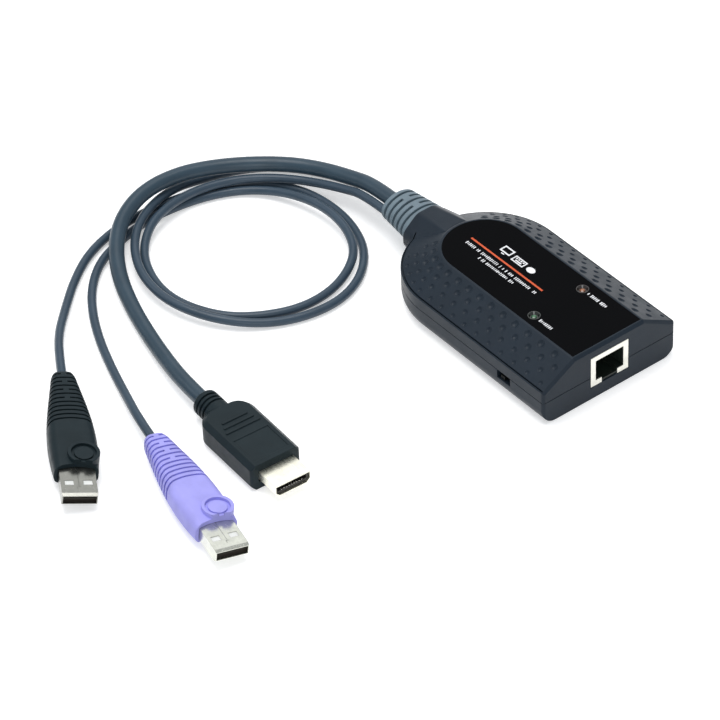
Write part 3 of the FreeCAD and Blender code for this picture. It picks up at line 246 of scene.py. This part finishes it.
def moulded(name, finish):
    # Moulded plastic, rubber or ink: fine grain, faint clouding and eased edges
    material, tree, shader = newMaterial(name)
    points = objectPoints(tree)
    cloud = noise(tree, points, finish["cloud"], detail=3)
    patches = noise(tree, points, finish["cloud"] * mouldedSpread["patchShare"], detail=4)
    grain = noise(tree, points, finish["grain"])
    least, most = finish["rough"] - mouldedSpread["rough"], finish["rough"] + mouldedSpread["rough"]
    link(tree, clouded(tree, cloud, finish["colour"], mouldedSpread["tints"]), shader.inputs["Base Color"])
    link(tree, between(tree, patches, least, most), shader.inputs["Roughness"])
    bumpHeight = finish["grain"] * mouldedSpread["bumpShare"]
    relief(tree, shader, grain, finish["depth"], bumpHeight, finish["edge"])
    shader.inputs["Specular IOR Level"].default_value = finish["shine"]
    return material


jacket = {
    "colour": (0.030, 0.056, 0.080), "rough": 0.34, "grain": 0.35 * mm, "depth": 0.12, "cloud": 9 * mm,
    "edge": 0, "shine": 0.36,
}
mouldings = {
    "housingPlastic": {"colour": (0.0145, 0.0225, 0.0330), "rough": 0.38, "grain": 0.22 * mm, "depth": 0.22,
                       "cloud": 14 * mm, "edge": 0.2 * mm, "shine": 0.16},
    "labelFilm": {"colour": (0.0018, 0.0020, 0.0026), "rough": 0.25, "grain": 0.5 * mm, "depth": 0.02,
                  "cloud": 20 * mm, "edge": 0, "shine": 0.02},
    "bootRubber": {"colour": (0.140, 0.192, 0.228), "rough": 0.5, "grain": 0.2 * mm, "depth": 0.15,
                   "cloud": 6 * mm, "edge": 0.25 * mm, "shine": 0.45},
    "blackGrip": {"colour": (0.0115, 0.0205, 0.0250), "rough": 0.42, "grain": 0.16 * mm, "depth": 0.16,
                  "cloud": 8 * mm, "edge": 0.25 * mm, "shine": 0.13},
    "violetGrip": {"colour": (0.355, 0.345, 0.80), "rough": 0.5, "grain": 0.16 * mm, "depth": 0.12,
                   "cloud": 8 * mm, "edge": 0.25 * mm, "shine": 0.3},
    "socketPlastic": {"colour": (0.012, 0.018, 0.014), "rough": 0.4, "grain": 0.2 * mm, "depth": 0.15,
                      "cloud": 5 * mm, "edge": 0.1 * mm, "shine": 0.5},
    "insertPlastic": {"colour": (0.03, 0.028, 0.024), "rough": 0.45, "grain": 0.2 * mm, "depth": 0.1,
                      "cloud": 5 * mm, "edge": 0.08 * mm, "shine": 0.5},
    "switchPlastic": {"colour": (0.004, 0.005, 0.005), "rough": 0.5, "grain": 0.2 * mm, "depth": 0.1,
                      "cloud": 4 * mm, "edge": 0.08 * mm, "shine": 0.12},
    "boardResin": {"colour": (0.015, 0.13, 0.055), "rough": 0.4, "grain": 0.6 * mm, "depth": 0.08,
                   "cloud": 12 * mm, "edge": 0, "shine": 0.5},
    "chipEpoxy": {"colour": (0.02, 0.02, 0.021), "rough": 0.6, "grain": 0.1 * mm, "depth": 0.2,
                  "cloud": 5 * mm, "edge": 0.05 * mm, "shine": 0.4},
    "headerPlastic": {"colour": (0.7, 0.68, 0.6), "rough": 0.5, "grain": 0.2 * mm, "depth": 0.1,
                      "cloud": 6 * mm, "edge": 0.08 * mm, "shine": 0.5},
    "whiteInk": {"colour": (0.80, 0.81, 0.83), "rough": 0.5, "grain": 0.2 * mm, "depth": 0.05,
                 "cloud": 3 * mm, "edge": 0, "shine": 0.3},
    "orangeInk": {"colour": (0.62, 0.09, 0.025), "rough": 0.5, "grain": 0.2 * mm, "depth": 0.05,
                  "cloud": 3 * mm, "edge": 0, "shine": 0.3},
    "cordJacket": jacket,
    "thinCordJacket": dict(jacket, colour=(0.037, 0.062, 0.090)),
}

platedSpread = {
    "tints": (0.93, 1.05), "streakSize": 0.25 * mm, "stainSize": 3 * mm, "rough": 0.04, "bump": 0.05,
    "bumpHeight": 0.01 * mm,
}


def metal(name, finish):
    # Plated sheet with drawn streaks along one axis
    material, tree, shader = newMaterial(name)
    drawn = objectPoints(tree, finish["streak"], finish["turn"])
    streaks = noise(tree, drawn, platedSpread["streakSize"], detail=3)
    stain = noise(tree, objectPoints(tree), platedSpread["stainSize"], detail=3)
    least, most = finish["rough"] - platedSpread["rough"], finish["rough"] + platedSpread["rough"]
    link(tree, clouded(tree, stain, finish["colour"], platedSpread["tints"]), shader.inputs["Base Color"])
    link(tree, between(tree, streaks, least, most), shader.inputs["Roughness"])
    relief(tree, shader, streaks, platedSpread["bump"], platedSpread["bumpHeight"], finish["edge"])
    shader.inputs["Metallic"].default_value = 1.0
    return material


videoTurn, blackTurn, violetTurn = -3.1, -30.3, -12.4  # how far each plug is turned from +X, in degrees
along, upright, even = (0.06, 1, 1), (1, 1, 0.1), (1, 1, 1)  # how drawn streaks stretch
metals = {
    "socketNickel": {"colour": (0.80, 0.79, 0.72), "rough": 0.35, "streak": upright, "turn": 0,
                     "edge": 0.12 * mm},
    "videoShellPlate": {"colour": (0.97, 0.94, 0.80), "rough": 0.30, "streak": along, "turn": videoTurn,
                        "edge": 0.12 * mm},
    "blackShellPlate": {"colour": (0.30, 0.30, 0.275), "rough": 0.24, "streak": along, "turn": blackTurn,
                        "edge": 0.12 * mm},
    "violetShellPlate": {"colour": (0.66, 0.67, 0.60), "rough": 0.24, "streak": along, "turn": violetTurn,
                         "edge": 0.12 * mm},
    "contactPlate": {"colour": (0.85, 0.84, 0.78), "rough": 0.25, "streak": along, "turn": 0,
                     "edge": 0.05 * mm},
    "contactGold": {"colour": (0.85, 0.66, 0.30), "rough": 0.25, "streak": along, "turn": 0,
                    "edge": 0.05 * mm},
    "screwSteel": {"colour": (0.35, 0.35, 0.36), "rough": 0.35, "streak": even, "turn": 0,
                   "edge": 0.1 * mm},
    "canSteel": {"colour": (0.6, 0.61, 0.62), "rough": 0.3, "streak": upright, "turn": 0,
                 "edge": 0.1 * mm},
}

paintedGlowWindow = {  # depth and size of the painted glow spot, how dark the rim is, and the clear plastic round it
    "depth": 0.4 * mm, "glowSpotSize": 1.25 * mm, "rim": 0.03, "span": (0.0, 0.7), "grain": 0.8 * mm,
    "rough": (0.08, 0.18), "shine": 0.9,
}
# colour of each window's painted glow, shown above its light on the board
windows = {
    "powerLensPaintedGlow": {"colour": (0.30, 0.10, 0.03), "light": "power_light", "pipe": "power_light_pipe"},
    "linkLensPaintedGlow": {"colour": (0.03, 0.14, 0.055), "light": "link_light", "pipe": "link_light_pipe"},
}


def lens(name, window):
    # A smoked light window with a painted glow: coloured above the light on the board, fading to dark at
    # its rim
    material, tree, shader = newMaterial(name)
    low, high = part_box(window["light"])
    middle = (low + high) / 2
    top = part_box(window["pipe"])[1].z
    where = tree.nodes.new("ShaderNodeTexCoord")
    mapping = tree.nodes.new("ShaderNodeMapping")
    mapping.vector_type = "TEXTURE"
    mapping.inputs["Location"].default_value = (middle.x, middle.y, top - paintedGlowWindow["depth"])
    mapping.inputs["Scale"].default_value = (paintedGlowWindow["glowSpotSize"],) * 3
    link(tree, where.outputs["Object"], mapping.inputs["Vector"])
    paintedGlowFalloff = tree.nodes.new("ShaderNodeTexGradient")
    paintedGlowFalloff.gradient_type = "SPHERICAL"
    link(tree, mapping.outputs["Vector"], paintedGlowFalloff.inputs["Vector"])
    rim = tinted(window["colour"], paintedGlowWindow["rim"])
    # painted glow: the board light's colour in the middle, going dark towards the rim
    link(tree, blendOf(tree, paintedGlowFalloff.outputs["Fac"], rim, window["colour"], paintedGlowWindow["span"]),
         shader.inputs["Base Color"])
    grain = noise(tree, objectPoints(tree), paintedGlowWindow["grain"])
    link(tree, between(tree, grain, *paintedGlowWindow["rough"]), shader.inputs["Roughness"])
    shader.inputs["Specular IOR Level"].default_value = paintedGlowWindow["shine"]
    return material


boardLights = {
    "powerGlow": {"colour": (0.85, 0.35, 0.12), "glow": 0.25, "shade": 0.7, "cloud": 0.6 * mm,
                  "rough": 0.3},
    "linkGlow": {"colour": (0.15, 0.55, 0.22), "glow": 0.2, "shade": 0.7, "cloud": 0.6 * mm,
                 "rough": 0.3},
}


def lit(name, light):
    # A small light on the board, faintly glowing
    material, tree, shader = newMaterial(name)
    cloud = noise(tree, objectPoints(tree), light["cloud"])
    link(tree, clouded(tree, cloud, light["colour"], (light["shade"], 1)), shader.inputs["Base Color"])
    shader.inputs["Roughness"].default_value = light["rough"]
    shader.inputs["Emission Color"].default_value = (*light["colour"], 1)
    shader.inputs["Emission Strength"].default_value = light["glow"]
    return material


dataInsertPaintedShade = {  # a tongue painted dark for the shade in the plug's mouth, and above leafBottom the pale leaves of a data plug
    "tongue": (0.028, 0.022, 0.017), "tongueTints": (0.85, 1.15), "leaf": (0.78, 0.79, 0.77),
    "leafTints": (0.95, 1.03), "leafBottom": 6.0 * mm, "blur": 0.1 * mm, "cloud": 4 * mm, "grain": 1 * mm,
    "rough": (0.38, 0.5),
}


def paintedShadeBelow(name, finish):
    # Plastic that changes colour at one height: painted shade below it, its own pale colour above
    material, tree, shader = newMaterial(name)
    points = objectPoints(tree)
    split = tree.nodes.new("ShaderNodeSeparateXYZ")
    link(tree, points, split.inputs["Vector"])
    edge = (finish["leafBottom"] - finish["blur"], finish["leafBottom"] + finish["blur"])
    colour = tree.nodes.new("ShaderNodeMix")
    colour.data_type = "RGBA"  # its colour sockets are inputs 6 and 7 and output 2
    link(tree, between(tree, split.outputs["Z"], 0, 1, edge), colour.inputs["Factor"])
    cloud = noise(tree, points, finish["cloud"], detail=3)
    # below leafBottom: painted shade of the plug's mouth over the tongue
    link(tree, clouded(tree, cloud, finish["tongue"], finish["tongueTints"]), colour.inputs[6])
    link(tree, clouded(tree, cloud, finish["leaf"], finish["leafTints"]), colour.inputs[7])
    link(tree, colour.outputs[2], shader.inputs["Base Color"])
    grain = noise(tree, points, finish["grain"])
    link(tree, between(tree, grain, *finish["rough"]), shader.inputs["Roughness"])
    return material


finishes = {name: moulded(name, finish) for name, finish in mouldings.items()}
finishes.update({name: metal(name, finish) for name, finish in metals.items()})
finishes.update({name: lens(name, window) for name, window in windows.items()})
finishes.update({name: lit(name, light) for name, light in boardLights.items()})
finishes["dataInsertPaintedShade"] = paintedShadeBelow("dataInsertPaintedShade", dataInsertPaintedShade)

dressed = {  # the pieces of the frame that show each finish
    "housingPlastic": ["top_cover", "bottom_cover"],
    "labelFilm": ["label_film"],
    "bootRubber": ["cable_boot"],
    "blackGrip": ["video_plug_grip", "black_plug_grip"],
    "violetGrip": ["violet_plug_grip"],
    "videoShellPlate": ["video_plug_shell"],
    "blackShellPlate": ["black_plug_shell"],
    "violetShellPlate": ["violet_plug_shell"],
    "insertPlastic": ["video_plug_insert"],
    "dataInsertPaintedShade": ["black_plug_insert", "violet_plug_insert"],
    "contactPlate": ["video_plug_contacts"],
    "contactGold": ["network_jack_contacts", "black_plug_contacts", "violet_plug_contacts"],
    "socketPlastic": ["network_jack_body"],
    "socketNickel": ["network_jack_shield"],
    "powerLensPaintedGlow": ["power_light_pipe"],
    "linkLensPaintedGlow": ["link_light_pipe"],
    "powerGlow": ["power_light"],
    "linkGlow": ["link_light"],
    "switchPlastic": ["switch_body", "switch_slider"],
    "boardResin": ["circuit_board"],
    "chipEpoxy": ["video_chip", "control_chip", "network_magnetics"],
    "canSteel": ["clock_crystal", "capacitors"],
    "headerPlastic": ["cable_header"],
    "cordJacket": ["cable_tails"],
    "screwSteel": ["case_screws"],
}


def dressNodes():
    for finish, names in dressed.items():
        for name in names:
            mesh = nodes[name].data
            mesh.materials.clear()
            mesh.materials.append(finishes[finish])


dressNodes()
print("finishes made")


# Cords: diameters, lengths and routes in millimetres

videoCord = {
    "diameter": 5.6, "far": "video", "body": "cordJacket", "stiffness": "medium", "length": 221.8,
    "route": [
        (-64.0, -0.6, 12.3), (-76.4, -0.6, 12.3), (-87, -1.9, 10.0), (-98, -5.4, 8.8), (-108, -11.2, 8.2),
        (-116.8, -20.4, 8.2), (-124.3, -33, 9.0), (-129, -47.3, 10.0), (-129.3, -62.3, 9.8),
        (-124.2, -75.5, 8.0), (-114.6, -85.6, 6.2), (-102.2, -93.2, 4.0), (-88, -98.5, 2.9),
        (-73, -102.9, 2.9), (-58.5, -106.5, 3.4), (-42.10, -110.37, 5.2), (-29.12, -111.08, 5.2),
    ],
}
blackCord = {
    "diameter": 3.2, "far": "black", "body": "thinCordJacket", "stiffness": "medium", "length": 464.7,
    "route": [
        (-64.0, 3.2, 8.6), (-76.4, 3.2, 8.6), (-86.3, 3.5, 4.9), (-97, 1.6, 2.4), (-108, -3.4, 1.7),
        (-118.5, -12, 1.7), (-126, -24, 1.7), (-130, -37, 1.7), (-129.8, -48, 3.8), (-126.6, -59.5, 5.5),
        (-121, -71, 5.1), (-111.3, -80.3, 5.1), (-98.5, -86.8, 4.6), (-83.5, -88.8, 4.3), (-69, -85, 3.9),
        (-57, -76.5, 2.9), (-49, -65, 1.7), (-44.6, -52, 1.7), (-44.8, -39, 1.7), (-50.2, -27.2, 1.7),
        (-60.2, -17.5, 1.7), (-73.5, -12.2, 1.7), (-88, -10.8, 1.7), (-102.5, -13.6, 1.7),
        (-114.8, -22, 1.7), (-122.5, -34.2, 1.7), (-126.2, -48, 1.7), (-128, -62, 1.7), (-127, -76.5, 1.7),
        (-122.3, -91.5, 1.7), (-113.3, -104.6, 1.7), (-101.8, -116.8, 2.0), (-91.6, -126.6, 3.4),
        (-79.89, -134.57, 5.3), (-70.39, -140.11, 5.3),
    ],
}
violetCord = {
    "diameter": 3.2, "far": "violet", "body": "thinCordJacket", "stiffness": "medium", "length": 452.7,
    "route": [
        (-64.0, -5, 10.4), (-76.4, -5, 10.4), (-86.3, -6.1, 7.6), (-96.3, -9.3, 5.8), (-105, -14.4, 5.1),
        (-112.3, -21.6, 5.1), (-118.7, -31, 5.1), (-122.5, -43.5, 5.1), (-122, -57, 5.1),
        (-117.8, -68.5, 4.6), (-109.5, -77.8, 2.3), (-98, -83, 1.7), (-85.5, -85, 1.7), (-73.5, -82.3, 1.7),
        (-62.5, -76, 1.7), (-54.8, -66, 1.7), (-50, -54, 1.7), (-50.2, -41.5, 1.7), (-54.5, -30, 1.9),
        (-61, -21.3, 3.6), (-72, -16.8, 4.9), (-85, -15.7, 5.0), (-98, -18.3, 4.1), (-109, -23.5, 2.5),
        (-116.8, -31.7, 1.7), (-121.2, -42.5, 1.7), (-123.3, -54.5, 1.7), (-123.5, -67, 1.7),
        (-120.5, -79.5, 1.7), (-115.5, -92, 1.7), (-106, -102.5, 1.7), (-94, -110.7, 1.7),
        (-80.5, -117.3, 1.7), (-66, -122.7, 1.7), (-51.5, -127.5, 2.3), (-35.57, -133.41, 5.3),
        (-24.83, -135.77, 5.3),
    ],
}
cordSteps = {"along": 12, "round": 8}


def layCord(name, cord, node):
    curve = bpy.data.curves.new(name, "CURVE")
    curve.dimensions = "3D"
    spline = curve.splines.new("NURBS")
    spline.points.add(len(cord["route"]) - 1)
    for point, (x, y, z) in zip(spline.points, cord["route"]):
        point.co = (x * mm, y * mm, z * mm, 1)
    spline.order_u = 3
    spline.use_endpoint_u = True
    spline.resolution_u = cordSteps["along"]
    curve.resolution_u = cordSteps["along"]
    curve.bevel_depth = cord["diameter"] / 2 * mm
    curve.bevel_resolution = cordSteps["round"]
    curve.use_fill_caps = True
    curve.materials.append(finishes[cord["body"]])
    item = place(name, curve)
    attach(item, "dongle")
    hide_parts(node)


layCord("videoCord", videoCord, "video_cord")
layCord("blackCord", blackCord, "black_data_cord")
layCord("violetCord", violetCord, "violet_data_cord")
print("cords laid")


# Label print in millimetres: strokes stand for words, with signs for a screen, a keyboard and a mouse

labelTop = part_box("label_film")[1].z
inkThickness = 0.03 * mm
printRows = {
    "upperWords": {"from": (-21.6, -2.95), "strokes": 46, "pitch": 0.8, "stroke": (0.42, 1.5), "seed": 4},
    "lowerWords": {"from": (-13.0, -5.3), "strokes": 24, "pitch": 0.8, "stroke": (0.42, 1.4), "seed": 11},
    "powerWord": {"from": (26.6, 10.4), "strokes": 12, "pitch": 0.8, "stroke": (0.45, 1.5), "seed": 2},
    "linkWord": {"from": (26.7, -11.0), "strokes": 8, "pitch": 0.8, "stroke": (0.45, 1.5), "seed": 6},
}
strokeChance = {"gaps": 0.16, "least": (0.7, 0.62, 1), "most": (1.2, 1, 1)}  # share left out, and scales


def strokeTree(ink):
    # A row of strokes of uneven width and height, with gaps here and there
    tree = bpy.data.node_groups.new("strokeRow", "GeometryNodeTree")
    sockets = {}
    for name, kind in (("Start", "Vector"), ("Strokes", "Int"), ("Pitch", "Vector"), ("Stroke", "Vector"),
                       ("Gaps", "Float"), ("Seed", "Int")):
        sockets[name] = tree.interface.new_socket(name, in_out="INPUT", socket_type="NodeSocket" + kind)
    tree.interface.new_socket("Geometry", in_out="OUTPUT", socket_type="NodeSocketGeometry")
    given = tree.nodes.new("NodeGroupInput")
    row = tree.nodes.new("GeometryNodeMeshLine")
    link(tree, given.outputs["Strokes"], row.inputs["Count"])
    link(tree, given.outputs["Start"], row.inputs["Start Location"])
    link(tree, given.outputs["Pitch"], row.inputs["Offset"])
    chance = tree.nodes.new("FunctionNodeRandomValue")
    chance.data_type = "BOOLEAN"  # its result is output 3
    link(tree, given.outputs["Gaps"], chance.inputs["Probability"])
    link(tree, given.outputs["Seed"], chance.inputs["Seed"])
    spaced = tree.nodes.new("GeometryNodeDeleteGeometry")
    link(tree, row.outputs["Mesh"], spaced.inputs["Geometry"])
    link(tree, chance.outputs[3], spaced.inputs["Selection"])
    block = tree.nodes.new("GeometryNodeMeshCube")
    link(tree, given.outputs["Stroke"], block.inputs["Size"])
    uneven = tree.nodes.new("FunctionNodeRandomValue")
    uneven.data_type = "FLOAT_VECTOR"  # its least and most are inputs 0 and 1, and its result is output 0
    uneven.inputs[0].default_value = strokeChance["least"]
    uneven.inputs[1].default_value = strokeChance["most"]
    link(tree, given.outputs["Seed"], uneven.inputs["Seed"])
    strokes = tree.nodes.new("GeometryNodeInstanceOnPoints")
    link(tree, spaced.outputs["Geometry"], strokes.inputs["Points"])
    link(tree, block.outputs["Mesh"], strokes.inputs["Instance"])
    link(tree, uneven.outputs[0], strokes.inputs["Scale"])
    real = tree.nodes.new("GeometryNodeRealizeInstances")
    link(tree, strokes.outputs["Instances"], real.inputs["Geometry"])
    inked = tree.nodes.new("GeometryNodeSetMaterial")
    inked.inputs["Material"].default_value = ink
    link(tree, real.outputs["Geometry"], inked.inputs["Geometry"])
    out = tree.nodes.new("NodeGroupOutput")
    link(tree, inked.outputs["Geometry"], out.inputs["Geometry"])
    return tree, {name: socket.identifier for name, socket in sockets.items()}


def printRow(name, row, tree, sockets):
    grown = place(name + "Grown", bpy.data.meshes.new(name + "Seed"))
    modifier = grown.modifiers.new("strokes", "NODES")
    modifier.node_group = tree
    x, y = row["from"]
    width, height = row["stroke"]
    modifier[sockets["Start"]] = (x * mm, y * mm, labelTop + inkThickness / 2)
    modifier[sockets["Strokes"]] = row["strokes"]
    modifier[sockets["Pitch"]] = (row["pitch"] * mm, 0, 0)
    modifier[sockets["Stroke"]] = (width * mm, height * mm, inkThickness)
    modifier[sockets["Gaps"]] = strokeChance["gaps"]
    modifier[sockets["Seed"]] = row["seed"]
    ready = grown.evaluated_get(bpy.context.evaluated_depsgraph_get())
    mesh = bpy.data.meshes.new_from_object(ready)
    bpy.data.objects.remove(grown)
    mesh.materials.clear()  # the tree leaves an empty slot before the ink's
    mesh.materials.append(finishes["whiteInk"])
    item = place(name, mesh)
    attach(item, "dongle")


def printed(name, outlines, ink):
    # Each outline becomes a thin closed patch on the label
    mesh = bmesh.new()
    for outline in outlines:
        low = [mesh.verts.new((x * mm, y * mm, labelTop)) for x, y in outline]
        high = [mesh.verts.new((x * mm, y * mm, labelTop + inkThickness)) for x, y in outline]
        mesh.faces.new(high)
        mesh.faces.new(low[::-1])
        for i in range(len(outline)):
            j = (i + 1) % len(outline)
            mesh.faces.new((low[i], low[j], high[j], high[i]))
    data = bpy.data.meshes.new(name)
    mesh.to_mesh(data)
    mesh.free()
    data.materials.append(finishes[ink])
    item = place(name, data)
    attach(item, "dongle")


def patch(corner, size):
    (x, y), (length, width) = corner, size
    return [(x, y), (x + length, y), (x + length, y + width), (x, y + width)]


def hollowPatch(corner, size, line):
    (x, y), (length, width) = corner, size
    inner = width - 2 * line
    return [patch((x, y), (length, line)), patch((x, y + width - line), (length, line)),
            patch((x, y + line), (line, inner)), patch((x + length - line, y + line), (line, inner))]


def oval(middle, half, corners):
    turns = [2 * math.pi * i / corners for i in range(corners)]
    return [(middle[0] + half[0] * math.cos(a), middle[1] + half[1] * math.sin(a)) for a in turns]


screen = {"corner": (-11.4, 2.9), "size": (5.0, 3.2), "line": 0.6, "footCorner": (-9.6, 2.0),
          "foot": (1.4, 0.5)}
keyboard = {"corner": (-4.9, 2.3), "size": (6.0, 3.0), "line": 0.5, "keys": 4, "keyCorner": (-4.0, 4.0),
            "keyPitch": 1.15, "key": (0.7, 0.6), "barCorner": (-3.4, 3.05), "bar": (3.0, 0.6)}
mouse = {"middle": (4.3, 3.7), "half": (1.9, 1.35), "corners": 24}
underline = {"corner": (-22.4, -0.75), "size": (37.6, 0.75)}


def screenOutlines():
    return (hollowPatch(screen["corner"], screen["size"], screen["line"])
            + [patch(screen["footCorner"], screen["foot"])])


def keyboardOutlines():
    x, y = keyboard["keyCorner"]
    keys = [patch((x + keyboard["keyPitch"] * i, y), keyboard["key"]) for i in range(keyboard["keys"])]
    return (hollowPatch(keyboard["corner"], keyboard["size"], keyboard["line"]) + keys
            + [patch(keyboard["barCorner"], keyboard["bar"])])


wordTree, wordSockets = strokeTree(finishes["whiteInk"])
for rowName, row in printRows.items():
    printRow(rowName, row, wordTree, wordSockets)
printed("labelLine", [patch(underline["corner"], underline["size"])], "orangeInk")
printed("screenSign", screenOutlines(), "whiteInk")
printed("keyboardSign", keyboardOutlines(), "whiteInk")
printed("mouseSign", [oval(mouse["middle"], mouse["half"], mouse["corners"])], "whiteInk")
print("label printed")
